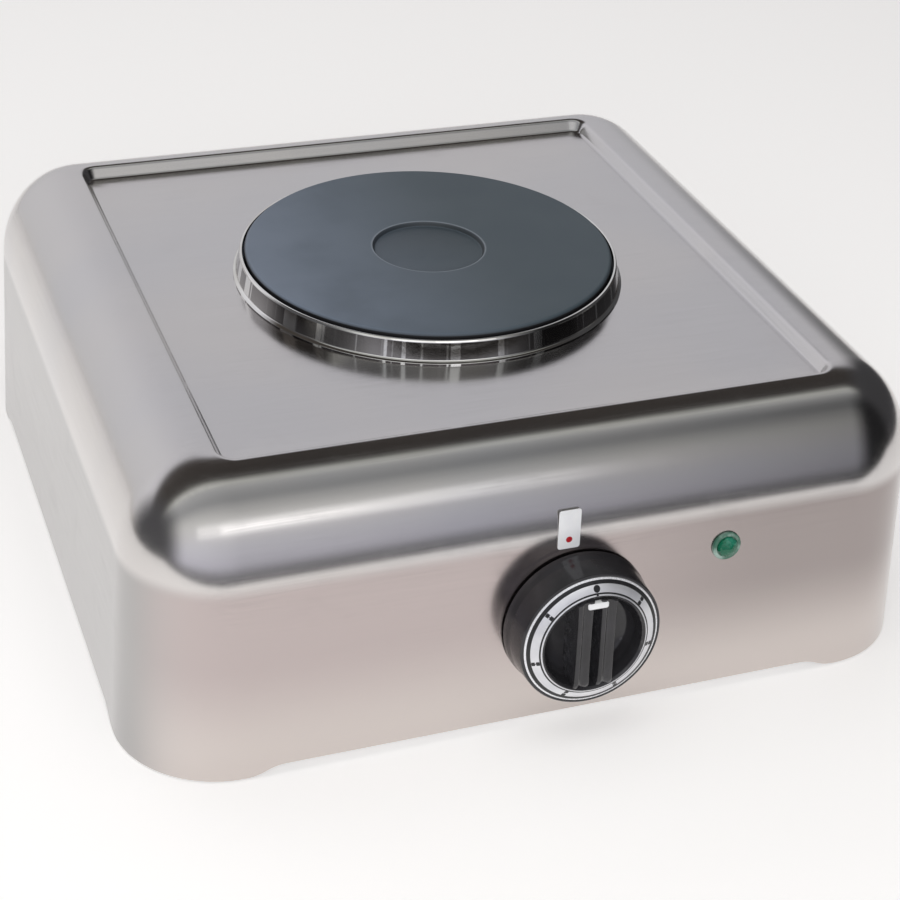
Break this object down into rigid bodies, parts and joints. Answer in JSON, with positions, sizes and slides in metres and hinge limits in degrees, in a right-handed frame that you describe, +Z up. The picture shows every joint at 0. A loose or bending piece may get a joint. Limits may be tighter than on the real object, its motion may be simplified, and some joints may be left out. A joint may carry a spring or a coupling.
{
  "type": "hot plate burner",
  "caption": "Countertop electric hot plate: pressed stainless cover with a sunk deck, cast-iron burner in a bright spill ring, turning control knob and pilot lamp.",
  "frame": {"origin": "middle of the overall box in plan, on the surface that the feet stand on", "axes": "+Z up, front panel with the knob towards -Y, +X to the right as seen from the front"},
  "size_m": [0.38, 0.404, 0.147],
  "materials": {
    "brushed_stainless": "satin brushed",
    "galvanised_sheet": "dull zinc coat",
    "zinc_steel": "bright zinc plate",
    "black_rubber": "matte",
    "cast_iron_black": "blackened, finely turned",
    "polished_ring": "polished stainless",
    "resistance_wire": "oxidised",
    "magnesia": "pressed powder",
    "steatite": "unglazed",
    "tab_brass": "bare",
    "cam_plastic": "moulded",
    "knob_plastic": "gloss",
    "dial_metal": "satin with printed marks",
    "white_plastic": "smooth",
    "red_print": "printed",
    "lamp_bezel": "smooth",
    "green_lens": "faceted translucent",
    "neon_glass": "clear",
    "gland_plastic": "moulded nylon",
    "block_plastic": "moulded",
    "wire_insulation": "glass-braid sleeve",
    "earth_insulation": "green and yellow sleeve"
  },
  "bodies": {
    "cooker": {"base_plate": "galvanised_sheet", "base_screws": "zinc_steel", "block_fixings": "zinc_steel", "body_shell": "brushed_stainless", "bridge_nut": "zinc_steel", "bridge_washer": "galvanised_sheet", "cable_gland": "gland_plastic", "centre_stud": "zinc_steel", "clamp_bridge": "galvanised_sheet", "coil_insulation": "magnesia", "detent_spring": "zinc_steel", "earth_stud": "tab_brass", "earth_wire": "earth_insulation", "flange_clip_nuts": "zinc_steel", "foot_front_left": "black_rubber", "foot_front_right": "black_rubber", "foot_rear_left": "black_rubber", "foot_rear_right": "black_rubber", "foot_screws": "zinc_steel", "gland_nut": "gland_plastic", "heating_coil_inner": "resistance_wire", "heating_coil_middle": "resistance_wire", "heating_coil_outer": "resistance_wire", "hotplate_disc": "cast_iron_black", "label_dot": "red_print", "lamp_body": "lamp_bezel", "lamp_bulb": "neon_glass", "lamp_clip": "zinc_steel", "lamp_lens": "green_lens", "lamp_terminals": "tab_brass", "lamp_wires": "wire_insulation", "lead_common_bar": "tab_brass", "lead_insulator": "steatite", "lead_terminals": "tab_brass", "mains_block": "block_plastic", "mains_block_screws": "zinc_steel", "pilot_tabs": "tab_brass", "plate_cover": "galvanised_sheet", "plate_wires": "wire_insulation", "position_label": "white_plastic", "spill_ring": "polished_ring", "supply_wires": "wire_insulation", "switch_contacts": "tab_brass", "switch_housing": "steatite", "switch_plate": "galvanised_sheet", "switch_rear_cover": "steatite", "switch_screws": "zinc_steel", "switch_terminals": "tab_brass"},
    "control_knob": {"knob_body": "knob_plastic", "knob_clamp_ring": "zinc_steel", "dial_ring": "dial_metal", "pointer_insert": "white_plastic", "switch_shaft": "zinc_steel", "switch_cams": "cam_plastic", "detent_wheel": "zinc_steel"}
  },
  "joints": [
    {"name": "knob_turn", "type": "hinge", "parent": "cooker", "child": "control_knob", "pos_m": [0.0073, -0.18518, 0.05446], "axis": [0, 0.9983, -0.0576], "continuous": true}
  ]
}
